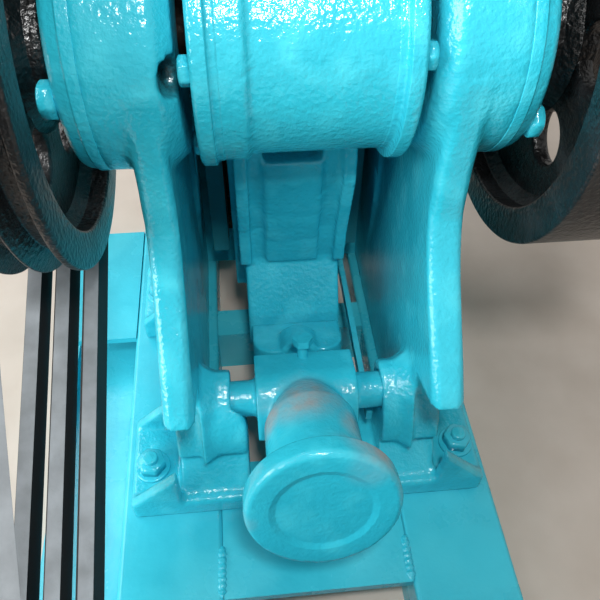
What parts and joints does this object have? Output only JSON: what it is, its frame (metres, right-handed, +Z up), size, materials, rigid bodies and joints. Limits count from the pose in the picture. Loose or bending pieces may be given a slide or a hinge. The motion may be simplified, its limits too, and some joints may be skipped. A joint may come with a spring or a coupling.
{
  "type": "laboratory jaw crusher",
  "caption": "Small single-toggle jaw crusher with two flywheels, a hand-set toggle and a belt drive, on a steel base.",
  "frame": {"origin": "on the floor, under the centre of the base frame", "axes": "+X towards the plain flywheel, +Y towards the feed mouth, +Z up"},
  "size_m": [0.4017, 0.6842, 0.485],
  "materials": {
    "teal_enamel": "gloss",
    "teal_steelwork": "satin",
    "manganese_steel": "worn",
    "black_enamel": "gloss",
    "turned_steel": "turned",
    "toggle_steel": "worn paint",
    "screw_steel": "dull",
    "belt_rubber": "matt",
    "motor_enamel": "satin"
  },
  "bodies": {
    "frame": {"left_base_rail": "teal_steelwork", "right_base_rail": "teal_steelwork", "front_cross_member": "teal_steelwork", "chamber_cross_member": "teal_steelwork", "deck_plate": "teal_steelwork", "motor_plate": "teal_steelwork", "rear_cross_member": "teal_steelwork", "left_side_rail": "teal_steelwork", "left_tie_plate": "teal_steelwork", "left_side_wall": "teal_enamel", "right_side_wall": "teal_enamel", "front_wall": "teal_enamel", "left_bearing_cover": "teal_enamel", "right_bearing_cover": "teal_enamel", "fixed_jaw_plate": "manganese_steel", "left_cheek_plate": "manganese_steel", "right_cheek_plate": "manganese_steel", "motor_pulley": "black_enamel", "motor_body": "motor_enamel", "motor_shaft": "turned_steel", "motor_fan_cowl": "motor_enamel", "motor_feet": "motor_enamel", "terminal_box": "motor_enamel", "v_belts": "belt_rubber"},
    "drive_shaft": {"eccentric_shaft": "turned_steel", "pulley_flywheel": "black_enamel", "plain_flywheel": "black_enamel", "left_shaft_cap": "turned_steel", "right_shaft_cap": "turned_steel"},
    "jaw": {"moving_jaw": "teal_enamel", "moving_jaw_plate": "manganese_steel", "left_barrel_cover": "teal_enamel", "right_barrel_cover": "teal_enamel", "tension_link": "teal_steelwork"},
    "adjuster": {"adjuster_block": "teal_enamel", "lock_screw": "screw_steel"},
    "disc": {"adjuster_disc": "teal_enamel"},
    "toggle": {"toggle_plate": "toggle_steel"}
  },
  "joints": [
    {"name": "drive_spin", "type": "hinge", "parent": "frame", "child": "drive_shaft", "pos_m": [0, 0.118, 0.355], "axis": [1, 0, 0], "continuous": true},
    {"name": "jaw_orbit", "type": "hinge", "parent": "drive_shaft", "child": "jaw", "pos_m": [0, 0.11417, 0.35617], "axis": [1, 0, 0], "continuous": true},
    {"name": "adjuster_tilt", "type": "hinge", "parent": "frame", "child": "adjuster", "pos_m": [0, 0.02, 0.125], "axis": [1, 0, 0], "range_deg": [-3, 3]},
    {"name": "disc_turn", "type": "hinge", "parent": "adjuster", "child": "disc", "pos_m": [0, 0.02, 0.125], "axis": [0, -0.9563, 0.2924], "range_deg": [-1350, 0]},
    {"name": "toggle_set", "type": "slide", "parent": "adjuster", "child": "toggle", "axis": [0, 0.9563, -0.2924], "range_m": [-0.01501, 0]}
  ],
  "couplings": [
    {"joint": "jaw_orbit", "follows": "drive_spin", "ratio": -1},
    {"joint": "toggle_set", "follows": "disc_turn", "m_per_rad": 0.00063662}
  ]
}
